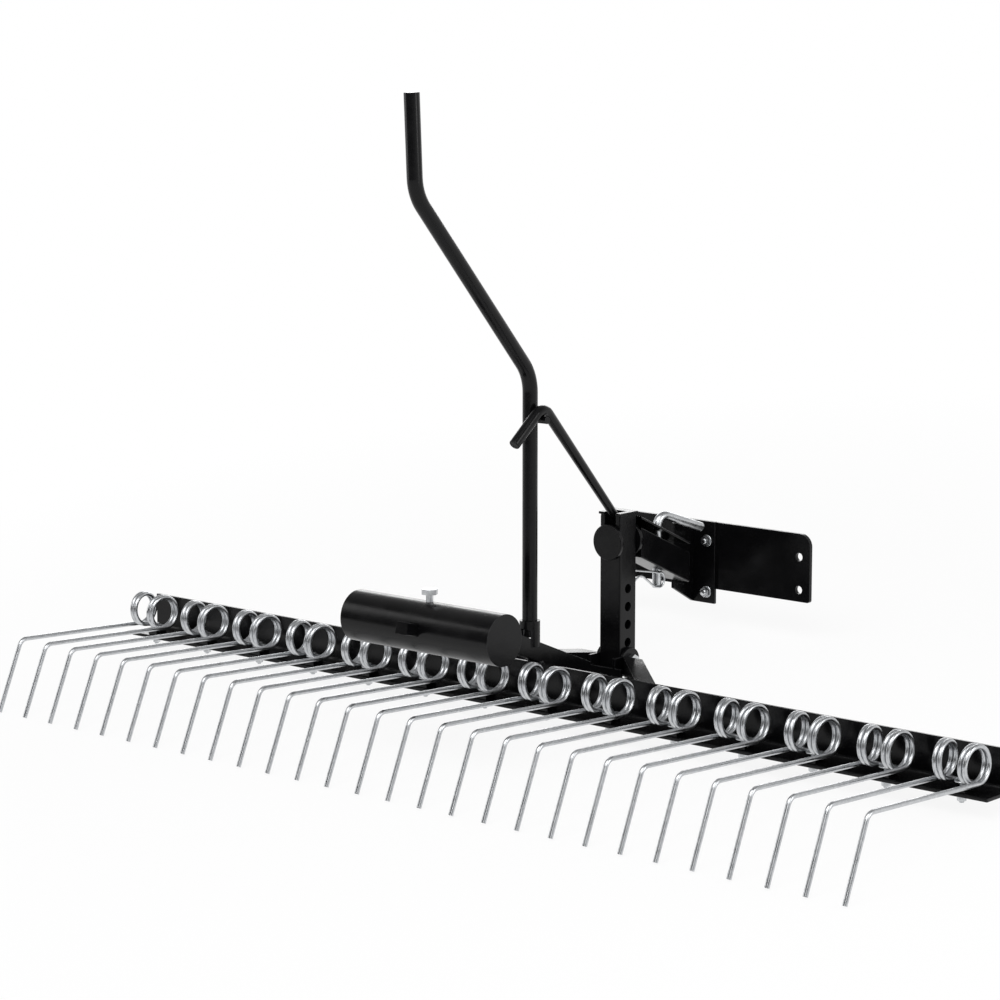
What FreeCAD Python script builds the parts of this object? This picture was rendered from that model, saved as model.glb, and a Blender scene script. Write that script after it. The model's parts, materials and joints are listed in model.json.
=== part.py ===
# Tow-behind lawn rake: an angle-iron bar of double-coil spring tines, carried by an
# A-frame on a hinged mast that bolts to a tractor, with a lift handle and a counterweight.
#
# The pieces are laid out in a working frame: X along the bar, +Y towards the tractor,
# +Z up, the bar's corner at the origin.  A last placement tips the whole rake forward
# until it stands on its tine tips and on the yoke under the mast, as it parks.
import FreeCAD
import Part
import math
import os

doc = FreeCAD.newDocument("LawnRake")
sheet = doc.addObject("Spreadsheet::Sheet", "Sizes")

SIZES = {
    # angle-iron bar
    "bar_length": 1500.0,
    "bar_leg": 50.8,
    "bar_wall": 4.8,
    "bar_root_radius": 6.0,
    # double-coil tines
    "wire_diameter": 6.35,
    "tine_count": 14,
    "tine_end_margin": 42.4,
    "arm_offset": 27.3,
    "coil_radius": 23.3,
    "coil_centre_back": 46.0,
    "coil_centre_height": 38.0,
    "coil_gap": 0.5,
    "bight_radius": 8.6,
    "bolt_back": 25.0,
    "elbow_back": 277.7,
    "elbow_height": 25.9,
    "elbow_radius": 14.0,
    "tip_back": 321.2,
    "tip_drop": 73.8,
    # A-frame braces and apex plate
    "brace_leg": 25.0,
    "brace_wall": 3.2,
    "brace_spread": 184.7,
    "brace_apex": 46.5,
    "brace_front": 166.0,
    "brace_height": 36.0,
    "apex_length": 85.0,
    "apex_wall": 5.0,
    # hinge yoke at the mast's foot
    "yoke_back": 143.0,
    "yoke_wall": 5.0,
    "yoke_width": 68.0,
    "yoke_bottom": 6.0,
    "yoke_back_top": 22.0,
    "ear_radius": 19.0,
    "yoke_gap": 1.0,
    "hinge_forward": 178.5,
    "hinge_height": 27.0,
    "hinge_bolt_diameter": 12.0,
    "bolt_head_height": 7.5,
    "bolt_head_width": 19.0,
    # spine: strut and weight arm
    "spine_width": 20.0,
    "strut_depth": 25.4,
    "arm_depth": 16.0,
    "spine_knee_back": 35.0,
    "strut_angle": 22.4,
    "strut_front": 108.0,
    "arm_angle": 12.9,
    "arm_end_back": 262.0,
    # counterweight
    "weight_diameter": 68.0,
    "weight_length": 257.0,
    "weight_back": 208.0,
    "weight_rise": 5.0,
    "weight_bore_gap": 0.5,
    "screw_diameter": 9.5,
    "screw_head_width": 19.0,
    "screw_head_height": 7.0,
    "screw_reach": 10.0,
    # lift handle and its socket
    "handle_diameter": 20.6,
    "handle_wall": 2.5,
    "handle_back": 10.0,
    "handle_bend_height": 443.0,
    "handle_lean_back": 234.0,
    "handle_lean_height": 693.0,
    "handle_top_back": 240.0,
    "handle_top_height": 822.0,
    "handle_bend_radius": 60.0,
    "socket_diameter": 28.0,
    "socket_top": 111.0,
    "socket_fit": 0.2,
    "socket_sink": 3.0,
    "peg_diameter": 10.0,
    "peg_lip": 3.0,
    "peg_gap": 1.2,
    # mast
    "post_width": 36.0,
    "post_wall": 3.0,
    "post_back": 160.5,
    "post_bottom": 12.0,
    "post_top": 233.0,
    "post_hole_diameter": 13.5,
    "post_hole_first": 53.0,
    "post_hole_pitch": 25.4,
    "post_hole_count": 4,
    "cap_wall": 3.5,
    "cap_lip": 1.5,
    "cap_notch_past_pin": 5.0,
    "rod_slot_width": 20.0,
    "rod_slot_height": 30.0,
    # hook rod
    "rod_diameter": 12.0,
    "rod_pivot_height": 222.0,
    "rod_pivot_diameter": 9.0,
    "rod_eye_diameter": 18.0,
    "rod_eye_width": 14.0,
    "rod_side": 22.0,
    "rod_crest_height": 404.0,
    "rod_crest_radius": 20.0,
    "rod_end_back": 67.0,
    "rod_end_height": 358.0,
    # roll pivot and tongue channel
    "roll_height": 195.0,
    "roll_shaft_diameter": 20.0,
    "bore_fit": 0.08,
    "disc_diameter": 50.0,
    "disc_wall": 6.0,
    "disc_clearance": 0.5,
    "tongue_width": 44.0,
    "tongue_depth": 53.0,
    "tongue_wall": 3.2,
    "tongue_angle": 24.5,
    "tongue_start_height": 199.0,
    "tongue_front": 313.0,
    "tongue_slot": 11.0,
    # hitch pin
    "pin_diameter": 13.0,
    "pin_forward": 266.0,
    "pin_top": 223.0,
    "pin_bottom": 116.0,
    "pin_grip_length": 86.0,
    "pin_grip_drop": 30.0,
    "pin_grip_side": 12.0,
    "pin_bend_radius": 14.0,
    "sleeve_diameter": 24.0,
    "sleeve_length": 30.0,
    # hitch bracket and plate
    "bracket_depth": 50.0,
    "bracket_wall": 5.0,
    "bracket_flange": 43.2,
    "bracket_bottom": 80.0,
    "bracket_top": 199.0,
    "bracket_heel": 105.0,
    "tenon_length": 23.0,
    "tenon_bottom": 132.0,
    "tenon_top": 165.0,
    "plate_back": 373.0,
    "plate_wall": 6.0,
    "plate_width": 374.0,
    "plate_height": 97.0,
    "plate_centre_height": 149.5,
    "plate_corner": 18.0,
    "plate_toe_corner": 4.0,
    "plate_hole_diameter": 11.5,
    "plate_hole_inset": 18.5,
    "plate_hole_spacing": 47.0,
    "plate_hole_low": 8.1,
}

for row, (alias, value) in enumerate(SIZES.items(), start=1):
    sheet.set(f"A{row}", alias)
    sheet.set(f"B{row}", str(value))
    sheet.setAlias(f"B{row}", alias)
doc.recompute()

NODES = []
X_AXIS = FreeCAD.Vector(1, 0, 0)
Y_AXIS = FreeCAD.Vector(0, 1, 0)
Z_AXIS = FreeCAD.Vector(0, 0, 1)


def size(alias):
    return float(sheet.get(alias))


def vector(x, y, z):
    return FreeCAD.Vector(x, y, z)


def placed(position, axis=Z_AXIS, degrees=0.0):
    return FreeCAD.Placement(position, FreeCAD.Rotation(axis, degrees))


def along_x(x, y, z):
    """Placement that lays a cylinder or prism along +X from the given point."""
    return placed(vector(x, y, z), Y_AXIS, 90)


def along_y(x, y, z):
    """Placement that lays a cylinder or prism along +Y from the given point."""
    return placed(vector(x, y, z), X_AXIS, -90)


def made(kind, name, placement, **formulas):
    """A Part primitive whose sizes follow formulas of the sheet's cells."""
    obj = doc.addObject("Part::" + kind, name)
    for prop, formula in formulas.items():
        obj.setExpression(prop, formula)
    obj.Placement = placement
    return obj


def box(name, placement, length, width, height):
    return made("Box", name, placement, Length=length, Width=width, Height=height)


def cylinder(name, placement, radius, height):
    return made("Cylinder", name, placement, Radius=radius, Height=height)


def hexagon(name, placement, across_flats, height):
    obj = made("Prism", name, placement, Circumradius=f"({across_flats}) / 2 / cos(30)", Height=height)
    obj.Polygon = 6
    return obj


def fuse(name, *shapes):
    obj = doc.addObject("Part::MultiFuse", name)
    obj.Shapes = list(shapes)
    obj.Refine = True
    return obj


def cut(name, base, tool):
    obj = doc.addObject("Part::Cut", name)
    obj.Base = base
    obj.Tool = tool
    obj.Refine = True
    return obj


def common(name, base, tool):
    obj = doc.addObject("Part::Common", name)
    obj.Base = base
    obj.Tool = tool
    obj.Refine = True
    return obj


def solid(name, shape):
    obj = doc.addObject("Part::Feature", name)
    obj.Shape = shape
    return obj


def node(label, obj):
    obj.Label = label
    NODES.append(obj)
    return obj


def bent_path(points, bend_radius):
    """Straight runs through the points, joined by tangent arcs of one radius."""
    edges = []
    start = points[0]
    for before, corner, after in zip(points, points[1:], points[2:]):
        back = (before - corner).normalize()
        ahead = (after - corner).normalize()
        half_angle = back.getAngle(ahead) / 2
        setback = bend_radius / math.tan(half_angle)
        entry = corner + back * setback
        leave = corner + ahead * setback
        inward = (back + ahead).normalize()
        middle = corner + inward * (bend_radius / math.sin(half_angle) - bend_radius)
        edges.append(Part.LineSegment(start, entry).toShape())
        edges.append(Part.Arc(entry, middle, leave).toShape())
        start = leave
    edges.append(Part.LineSegment(start, points[-1]).toShape())
    return Part.Wire(edges)


def bent_rod(points, bend_radius, rod_radius):
    """Round bar along a bent path."""
    direction = (points[1] - points[0]).normalize()
    section = Part.Wire(Part.makeCircle(rod_radius, points[0], direction))
    return bent_path(points, bend_radius).makePipeShell([section], True, False)


# Rake frame: the angle-iron bar, flange under the coils and web standing behind them
half_bar = size("bar_length") / 2
flange = box("BarFlange", placed(vector(-half_bar, -size("bar_leg"), -size("bar_wall"))),
             "Sizes.bar_length", "Sizes.bar_leg", "Sizes.bar_wall")
web = box("BarWeb", placed(vector(-half_bar, 0, -size("bar_wall"))),
          "Sizes.bar_length", "Sizes.bar_wall", "Sizes.bar_leg + Sizes.bar_wall")
root = box("BarRoot", placed(vector(-half_bar, -size("bar_root_radius"), 0)),
           "Sizes.bar_length", "Sizes.bar_root_radius", "Sizes.bar_root_radius")
root_hollow = cylinder("BarRootHollow",
                       along_x(-half_bar, -size("bar_root_radius"), size("bar_root_radius")),
                       "Sizes.bar_root_radius", "Sizes.bar_length")
bar = node("rake_bar", fuse("Bar", flange, web, cut("BarRootFillet", root, root_hollow)))
bar_front = size("bar_wall")


# Double-coil tines.  Each is one spring wire: tip, elbow, arm, a coil wound down to the
# flange, a bight round its bolt, and the same again mirrored.  The wire is drawn as a
# hexagonal bar and each turn as short straight runs.
WIRE_SIDES = 6
TURN_STEPS = 10
COIL_TURNS = 2
COIL_EXIT = math.radians(30)
hexagon_radius = size("wire_diameter") / 2 / math.cos(math.pi / WIRE_SIDES / 2)


def tine_side():
    """Centre line from the bight out to the tip, on the +X side."""
    bight_back = size("bolt_back")
    loop = size("bight_radius")
    points = []
    for step in range(1, 4):
        angle = math.radians(30 * step)
        points.append(vector(loop * math.sin(angle), loop * math.cos(angle) - bight_back, hexagon_radius))
    swept = 2 * math.pi * COIL_TURNS - COIL_EXIT
    count = round(TURN_STEPS * swept / (2 * math.pi))
    advance = (size("wire_diameter") + size("coil_gap")) * swept / (2 * math.pi)
    for step in range(count + 1):
        angle = -math.pi / 2 - COIL_EXIT - swept * step / count
        x = size("arm_offset") - advance * (1 - step / count)
        y = -size("coil_centre_back") + size("coil_radius") * math.cos(angle)
        z = size("coil_centre_height") + size("coil_radius") * math.sin(angle)
        points.append(vector(x, y, z))
    arm_x = size("arm_offset")
    elbow = vector(arm_x, -size("elbow_back"), size("elbow_height"))
    tip = vector(arm_x, -size("tip_back"), -size("tip_drop"))
    back = (points[-1] - elbow).normalize()
    ahead = (tip - elbow).normalize()
    half_angle = back.getAngle(ahead) / 2
    centre = elbow + (back + ahead).normalize() * (size("elbow_radius") / math.sin(half_angle))
    first = elbow + back * (size("elbow_radius") / math.tan(half_angle)) - centre
    turn = math.pi - 2 * half_angle
    for step in range(4):
        bend = FreeCAD.Rotation(X_AXIS, math.degrees(turn) * step / 3)
        points.append(centre + bend.multVec(first))
    points.append(tip)
    return points


def wire_solid(points, radius, sides):
    """Polygonal bar whose straight runs meet in mitres."""
    direction = (points[1] - points[0]).normalize()
    across = direction.cross(X_AXIS if abs(direction.x) < 0.9 else Z_AXIS).normalize()
    ring = []
    for side in range(sides):
        turn = FreeCAD.Rotation(direction, 360.0 * side / sides)
        ring.append(points[0] + turn.multVec(across) * radius)
    rings = [ring]
    for index in range(1, len(points)):
        run = (points[index] - points[index - 1]).normalize()
        plane = run
        if index + 1 < len(points):
            plane = (run + (points[index + 1] - points[index]).normalize()).normalize()
        moved = []
        for corner in rings[-1]:
            travel = (points[index] - corner).dot(plane) / run.dot(plane)
            moved.append(corner + run * travel)
        rings.append(moved)
    faces = []
    for near, far in zip(rings, rings[1:]):
        for side in range(sides):
            after = (side + 1) % sides
            outline = [near[side], near[after], far[after], far[side], near[side]]
            faces.append(Part.Face(Part.makePolygon(outline)))
    for end in (rings[0], rings[-1]):
        faces.append(Part.Face(Part.makePolygon(end + end[:1])))
    made_solid = Part.Solid(Part.makeShell(faces))
    if made_solid.Volume < 0:
        made_solid.reverse()
    return made_solid


right_side = tine_side()
bight_front = vector(0, size("bight_radius") - size("bolt_back"), hexagon_radius)
left_side = [vector(-point.x, point.y, point.z) for point in reversed(right_side)]
tine_shape = wire_solid(left_side + [bight_front] + right_side, hexagon_radius, WIRE_SIDES)
tine_count = round(size("tine_count"))
tine_pitch = (size("bar_length") - 2 * size("tine_end_margin")) / (tine_count - 1)
for index in range(tine_count):
    tine = solid(f"Tine{index + 1:02d}", tine_shape)
    tine_x = (index - (tine_count - 1) / 2) * tine_pitch
    tine.Placement = placed(vector(tine_x, 0, 0))
    node(f"tine_{index + 1:02d}", tine)


# Hinge yoke at the front of the A-frame: two ears round the mast's foot, and a low plate
# that ties them together behind it
ear_inside = size("post_width") / 2 + size("yoke_gap")
ear_outside = ear_inside + size("yoke_wall")
ear_bottom = size("hinge_height") - size("ear_radius")
back_plate = box("YokeBack", placed(vector(-size("yoke_width") / 2, size("yoke_back"), size("yoke_bottom"))),
                 "Sizes.yoke_width", "Sizes.yoke_wall", "Sizes.yoke_back_top - Sizes.yoke_bottom")
yoke_parts = [back_plate]
for side, start in (("Left", -ear_outside), ("Right", ear_inside)):
    yoke_parts.append(box(f"Yoke{side}Ear", placed(vector(start, size("yoke_back"), ear_bottom)),
                          "Sizes.yoke_wall", "Sizes.hinge_forward - Sizes.yoke_back",
                          "Sizes.brace_height - Sizes.hinge_height + Sizes.ear_radius"))
    yoke_parts.append(cylinder(f"Yoke{side}Eye", along_x(start, size("hinge_forward"), size("hinge_height")),
                               "Sizes.ear_radius", "Sizes.yoke_wall"))
yoke_bore = cylinder("YokeBore",
                     along_x(-size("yoke_width") / 2, size("hinge_forward"), size("hinge_height")),
                     "Sizes.hinge_bolt_diameter / 2 + Sizes.bore_fit", "Sizes.yoke_width")
node("hinge_yoke", cut("Yoke", fuse("YokeBlank", *yoke_parts), yoke_bore))

hinge_parts = [
    cylinder("HingeShank", along_x(-ear_outside, size("hinge_forward"), size("hinge_height")),
             "Sizes.hinge_bolt_diameter / 2",
             "Sizes.post_width + 2 * Sizes.yoke_gap + 2 * Sizes.yoke_wall"),
    hexagon("HingeHead", along_x(ear_outside, size("hinge_forward"), size("hinge_height")),
            "Sizes.bolt_head_width", "Sizes.bolt_head_height"),
    hexagon("HingeNut", along_x(-ear_outside - size("bolt_head_height"), size("hinge_forward"),
                                size("hinge_height")),
            "Sizes.bolt_head_width", "Sizes.bolt_head_height"),
]
node("hinge_bolt", fuse("HingeBolt", *hinge_parts))

# A-frame braces: small angle irons spreading from the yoke's ears back to the bar
brace_run = size("yoke_back") - bar_front
brace_out = size("brace_spread") - size("brace_apex")
brace_length = math.hypot(brace_run, brace_out)
brace_turn = math.degrees(math.atan2(brace_out, brace_run))
for side, sign in (("left", -1), ("right", 1)):
    turned = placed(vector(sign * size("brace_apex"), size("yoke_back"), size("brace_height")),
                    Z_AXIS, sign * brace_turn)
    room_side = ear_outside if sign > 0 else -ear_outside - 2 * size("brace_spread")
    room = box(f"Brace{side}Room", placed(vector(room_side, bar_front, 0)), "2 * Sizes.brace_spread",
               "Sizes.brace_front - Sizes.bar_wall", "Sizes.brace_height")
    upright_at = vector(-size("brace_wall") if sign > 0 else 0, -brace_length - size("brace_leg"),
                        -size("brace_leg"))
    shelf_at = vector(-size("brace_wall") if sign > 0 else size("brace_wall") - size("brace_leg"),
                      -brace_length - size("brace_leg"), -size("brace_wall"))
    upright = box(f"Brace{side}Upright", turned.multiply(placed(upright_at)),
                  "Sizes.brace_wall", "2 * Sizes.brace_spread", "Sizes.brace_leg")
    shelf = box(f"Brace{side}Shelf", turned.multiply(placed(shelf_at)),
                "Sizes.brace_leg", "2 * Sizes.brace_spread", "Sizes.brace_wall")
    node(f"brace_{side}", common(f"Brace{side}", fuse(f"Brace{side}Bar", upright, shelf), room))

# Apex plate under the braces, closing the A-frame in front of the strut's foot
apex_top = size("brace_height") - size("brace_leg")
apex_back = size("yoke_back") - size("apex_length")
apex_half_front = size("brace_apex")
apex_half_back = apex_half_front + size("apex_length") * brace_out / brace_run
outline = [
    vector(-apex_half_front, size("yoke_back"), apex_top - size("apex_wall")),
    vector(apex_half_front, size("yoke_back"), apex_top - size("apex_wall")),
    vector(apex_half_back, apex_back, apex_top - size("apex_wall")),
    vector(-apex_half_back, apex_back, apex_top - size("apex_wall")),
]
apex_face = Part.Face(Part.makePolygon(outline + outline[:1]))
apex_plate = node("apex_plate", solid("ApexPlate", apex_face.extrude(Z_AXIS * size("apex_wall"))))

# Spine: a strut that rises from the apex plate and rests on the front edge of the bar's web,
# and the weight's arm that runs on back from its top
strut_slope = math.radians(size("strut_angle"))
arm_slope = math.radians(size("arm_angle"))
knee_height = size("bar_leg") + size("strut_depth") / math.cos(strut_slope) \
    + (size("spine_knee_back") + bar_front) * math.tan(strut_slope)
knee = vector(0, -size("spine_knee_back"), knee_height)
half_width = size("spine_width") / 2
strut_turn = placed(knee, X_AXIS, -size("strut_angle"))
strut_blank = box("StrutBlank", strut_turn.multiply(placed(vector(-half_width, -size("strut_depth") / 3,
                                                                  -size("strut_depth")))),
                  "Sizes.spine_width", "2 * Sizes.yoke_back", "Sizes.strut_depth")
strut_room = box("StrutRoom", placed(vector(-size("yoke_width"), -size("yoke_back"), apex_top)),
                 "2 * Sizes.yoke_width", "Sizes.yoke_back + Sizes.strut_front", "Sizes.post_top")
strut = common("Strut", strut_blank, strut_room)
arm_turn = placed(knee, X_AXIS, 180 - size("arm_angle"))
arm = box("Arm", arm_turn.multiply(placed(vector(-half_width, 0, 0))),
          "Sizes.spine_width", "(Sizes.arm_end_back - Sizes.spine_knee_back) / cos(Sizes.arm_angle)",
          "Sizes.arm_depth")
spine = node("spine", fuse("Spine", strut, arm))


def arm_point(back):
    """Centre of the weight's arm at a distance behind the bar."""
    along = (back - size("spine_knee_back")) / math.cos(arm_slope)
    below = size("arm_depth") / 2
    y = -size("spine_knee_back") - along * math.cos(arm_slope) - below * math.sin(arm_slope)
    z = knee_height + along * math.sin(arm_slope) - below * math.cos(arm_slope)
    return vector(0, y, z)


# Socket and lift handle, both cut to sit on the spine's sloping top
def spine_top(back):
    """Height of the strut's top face at a distance behind the bar."""
    return knee_height + (back - size("spine_knee_back")) * math.tan(strut_slope)


socket_foot = spine_top(size("handle_back") - size("socket_diameter") / 2) - size("socket_sink")
handle_foot = spine_top(size("handle_back") + size("handle_diameter") / 2)
socket_outer = cylinder("SocketOuter", placed(vector(0, -size("handle_back"), socket_foot)),
                        "Sizes.socket_diameter / 2",
                        "Sizes.socket_top")
socket_bore = cylinder("SocketBore", placed(vector(0, -size("handle_back"), socket_foot)),
                       "Sizes.handle_diameter / 2 + Sizes.socket_fit", "2 * Sizes.socket_top")
socket_room = box("SocketRoom", placed(vector(-size("socket_diameter"), -size("spine_knee_back"), 0)),
                  "2 * Sizes.socket_diameter", "2 * Sizes.spine_knee_back", "Sizes.socket_top")
socket_tube = common("SocketTube", cut("SocketSleeve", socket_outer, socket_bore), socket_room)
node("handle_socket", cut("Socket", socket_tube, spine))

handle_points = [
    vector(0, -size("handle_back"), handle_foot),
    vector(0, -size("handle_back"), size("handle_bend_height")),
    vector(0, -size("handle_lean_back"), size("handle_lean_height")),
    vector(0, -size("handle_top_back"), size("handle_top_height")),
]
handle_bar = solid("HandleBar", bent_rod(handle_points, size("handle_bend_radius"),
                                         size("handle_diameter") / 2))
top_run = (handle_points[-1] - handle_points[-2]).normalize()
bore_points = handle_points[:-1] + [handle_points[-1] - top_run * size("handle_wall")]
handle_bore = solid("HandleBore", bent_rod(bore_points, size("handle_bend_radius"),
                                           size("handle_diameter") / 2 - size("handle_wall")))
node("lift_handle", cut("Handle", handle_bar, handle_bore))

# Peg on the handle's side, nested in the bend of the hook rod that rests over it
crest = vector(size("rod_side"), -size("handle_back"), size("rod_crest_height"))
rod_slope = math.atan2(size("rod_crest_height") - size("rod_pivot_height"),
                       size("hinge_forward") + size("handle_back"))
tail_slope = math.atan2(size("rod_crest_height") - size("rod_end_height"),
                        size("rod_end_back") - size("handle_back"))
half_crest = (math.pi - rod_slope - tail_slope) / 2
bend_lean = (rod_slope - tail_slope) / 2
peg_reach = size("rod_crest_radius") / math.sin(half_crest) - size("rod_crest_radius") \
    + size("rod_diameter") / 2 + size("peg_diameter") / 2 + size("peg_gap")
peg_bar = cylinder("PegBar", along_x(0, crest.y - peg_reach * math.sin(bend_lean),
                                     crest.z - peg_reach * math.cos(bend_lean)),
                   "Sizes.peg_diameter / 2", "Sizes.rod_side + Sizes.rod_diameter / 2 + Sizes.peg_lip")
node("latch_peg", cut("Peg", peg_bar, handle_bar))

# Counterweight: a round bar bored across for the arm and clamped by a set-screw
arm_middle = arm_point(size("weight_back"))
weight_centre = arm_middle + Z_AXIS * size("weight_rise")
weight_bar = cylinder("WeightBar", along_x(-size("weight_length") / 2, weight_centre.y, weight_centre.z),
                      "Sizes.weight_diameter / 2", "Sizes.weight_length")
arm_hole_half = size("spine_width") / 2 + size("weight_bore_gap")
arm_hole = box("ArmHole", placed(arm_middle, X_AXIS, 180 - size("arm_angle")).multiply(
    placed(vector(-arm_hole_half, -size("weight_diameter"),
                  -size("arm_depth") / 2 - size("weight_bore_gap")))),
    "Sizes.spine_width + 2 * Sizes.weight_bore_gap", "2 * Sizes.weight_diameter",
    "Sizes.arm_depth + 2 * Sizes.weight_bore_gap")
node("counterweight", cut("Weight", weight_bar, arm_hole))

screw_head_at = weight_centre.z + size("weight_diameter") / 2 + size("screw_reach")
screw_shank = cylinder("ScrewShank", placed(vector(0, weight_centre.y, weight_centre.z)),
                       "Sizes.screw_diameter / 2", "Sizes.weight_diameter / 2 + Sizes.screw_reach")
screw_head = hexagon("ScrewHead", placed(vector(0, weight_centre.y, screw_head_at)),
                     "Sizes.screw_head_width", "Sizes.screw_head_height")
node("weight_screw", cut("Screw", fuse("ScrewBlank", screw_shank, screw_head),
                         fuse("ScrewSeat", weight_bar, arm_hole)))

# Mast: a square tube on the hinge, slotted at the top for the hook rod
half_post = size("post_width") / 2
post_middle = size("post_back") + half_post
post_outer = box("PostOuter", placed(vector(-half_post, size("post_back"), size("post_bottom"))),
                 "Sizes.post_width", "Sizes.post_width", "Sizes.post_top - Sizes.post_bottom")
post_inner = box("PostInner", placed(vector(size("post_wall") - half_post,
                                            size("post_back") + size("post_wall"), size("post_bottom"))),
                 "Sizes.post_width - 2 * Sizes.post_wall", "Sizes.post_width - 2 * Sizes.post_wall",
                 "Sizes.post_top - Sizes.post_bottom")
rod_slot = box("RodSlot", placed(vector(-size("rod_slot_width") / 2, size("post_back"),
                                        size("post_top") - size("rod_slot_height"))),
               "Sizes.rod_slot_width", "2 * Sizes.post_wall", "2 * Sizes.rod_slot_height")
post_cuts = [
    post_inner,
    rod_slot,
    cylinder("PostHingeBore", along_x(-size("post_width"), size("hinge_forward"), size("hinge_height")),
             "Sizes.hinge_bolt_diameter / 2 + Sizes.bore_fit", "2 * Sizes.post_width"),
    cylinder("PostRollBore", along_y(0, 0, size("roll_height")),
             "Sizes.roll_shaft_diameter / 2 + Sizes.bore_fit", "2 * Sizes.hinge_forward"),
]
for index in range(round(size("post_hole_count"))):
    hole_height = size("post_hole_first") + index * size("post_hole_pitch")
    post_cuts.append(cylinder(f"PostHole{index + 1}",
                              along_x(-size("post_width"), post_middle, hole_height),
                              "Sizes.post_hole_diameter / 2", "2 * Sizes.post_width"))
node("mast_post", cut("Post", post_outer, fuse("PostCuts", *post_cuts)))

cap_at = vector(-half_post - size("cap_lip"), size("post_back") - size("cap_lip"), size("post_top"))
cap_plate = box("CapPlate", placed(cap_at), "Sizes.post_width + 2 * Sizes.cap_lip",
                "Sizes.post_width + 2 * Sizes.cap_lip", "Sizes.cap_wall")
cap_notch = box("CapNotch", placed(vector(-size("rod_slot_width") / 2,
                                          size("post_back") - 2 * size("cap_lip"), size("post_top"))),
                "Sizes.rod_slot_width",
                "Sizes.post_width / 2 + 2 * Sizes.cap_lip + Sizes.cap_notch_past_pin",
                "Sizes.rod_slot_height")
node("mast_cap", cut("Cap", cap_plate, cap_notch))
rod_pin = cylinder("RodPin", along_x(size("post_wall") - half_post, post_middle,
                                     size("rod_pivot_height")),
                   "Sizes.rod_pivot_diameter / 2", "Sizes.post_width - 2 * Sizes.post_wall")
node("rod_pin", rod_pin)

# Hook rod: an eye on the mast's cross pin, a straight rod past the handle's side and a
# turned-down hook over the peg
rod_points = [
    vector(0, post_middle, size("rod_pivot_height")),
    crest,
    vector(size("rod_side"), -size("rod_end_back"), size("rod_end_height")),
]
rod_bar = solid("RodBar", bent_rod(rod_points, size("rod_crest_radius"), size("rod_diameter") / 2))
rod_eye = cylinder("RodEye", along_x(-size("rod_eye_width") / 2, post_middle, size("rod_pivot_height")),
                   "Sizes.rod_eye_diameter / 2", "Sizes.rod_eye_width")
eye_bore = cylinder("RodEyeBore", along_x(-size("post_width"), post_middle, size("rod_pivot_height")),
                    "Sizes.rod_pivot_diameter / 2 + Sizes.bore_fit", "2 * Sizes.post_width")
node("hook_rod", cut("HookRod", fuse("RodBlank", rod_bar, rod_eye), eye_bore))

# Roll pivot: a shaft through the mast between two discs, which carries the tongue
disc_back = size("post_back") - size("disc_clearance") - size("disc_wall")
front_face = size("post_back") + size("post_width") + size("disc_clearance") + size("disc_wall")
roll_parts = [
    cylinder("RollShaft", along_y(0, disc_back, size("roll_height")), "Sizes.roll_shaft_diameter / 2",
             "Sizes.post_width + 2 * Sizes.disc_clearance + 2 * Sizes.disc_wall"),
    cylinder("RearDisc", along_y(0, disc_back, size("roll_height")), "Sizes.disc_diameter / 2",
             "Sizes.disc_wall"),
    cylinder("FrontDisc", along_y(0, front_face - size("disc_wall"), size("roll_height")),
             "Sizes.disc_diameter / 2", "Sizes.disc_wall"),
]
node("roll_pivot", fuse("RollPivot", *roll_parts))

# Tongue: a square tube running down and forward from the roll pivot, slotted along its right side
tongue_turn = placed(vector(0, front_face, size("tongue_start_height")), X_AXIS, -size("tongue_angle"))
half_tongue = size("tongue_width") / 2
half_depth = size("tongue_depth") / 2
tongue_outer = box("TongueOuter", tongue_turn.multiply(
    placed(vector(-half_tongue, -size("tongue_depth"), -half_depth))),
    "Sizes.tongue_width", "Sizes.plate_back", "Sizes.tongue_depth")
tongue_inner = box("TongueInner", tongue_turn.multiply(
    placed(vector(size("tongue_wall") - half_tongue, -2 * size("tongue_depth"),
                  size("tongue_wall") - half_depth))),
    "Sizes.tongue_width - 2 * Sizes.tongue_wall", "2 * Sizes.plate_back",
    "Sizes.tongue_depth - 2 * Sizes.tongue_wall")
tongue_slot = box("TongueSlot", tongue_turn.multiply(
    placed(vector(0, -2 * size("tongue_depth"), half_depth - size("tongue_wall") - size("tongue_slot")))),
    "Sizes.tongue_width", "2 * Sizes.plate_back", "Sizes.tongue_slot")
tongue_room = box("TongueRoom", placed(vector(-size("tongue_width"), front_face, 0)),
                  "2 * Sizes.tongue_width",
                  "Sizes.tongue_front - Sizes.post_back - Sizes.post_width - Sizes.disc_clearance"
                  " - Sizes.disc_wall",
                  "2 * Sizes.post_top")
pin_hole = cylinder("PinHole", placed(vector(0, size("pin_forward"), 0)),
                    "Sizes.pin_diameter / 2 + Sizes.bore_fit", "2 * Sizes.post_top")
tongue_hollow = fuse("TongueHollow", tongue_inner, tongue_slot)
tongue_channel = common("TongueChannel", cut("TongueSection", tongue_outer, tongue_hollow), tongue_room)
node("tongue", cut("Tongue", tongue_channel, pin_hole))

# Sleeve that guides the hitch pin, standing on the tube's floor
sleeve_outer = cylinder("SleeveOuter", placed(vector(0, size("pin_forward"), size("pin_bottom"))),
                        "Sizes.sleeve_diameter / 2", "2 * Sizes.sleeve_length")
tongue_space = common("TongueSpace", tongue_inner, tongue_room)
node("pin_sleeve", cut("Sleeve", common("SleeveBody", sleeve_outer, tongue_space), pin_hole))

pin_end = vector(size("pin_grip_side"), size("pin_forward") + size("pin_grip_length"),
                 size("pin_top") - size("pin_grip_drop"))
pin_points = [
    vector(0, size("pin_forward"), size("pin_bottom")),
    vector(0, size("pin_forward"), size("pin_top")),
    pin_end,
]
node("hitch_pin", solid("HitchPin", bent_rod(pin_points, size("pin_bend_radius"),
                                             size("pin_diameter") / 2)))

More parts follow.
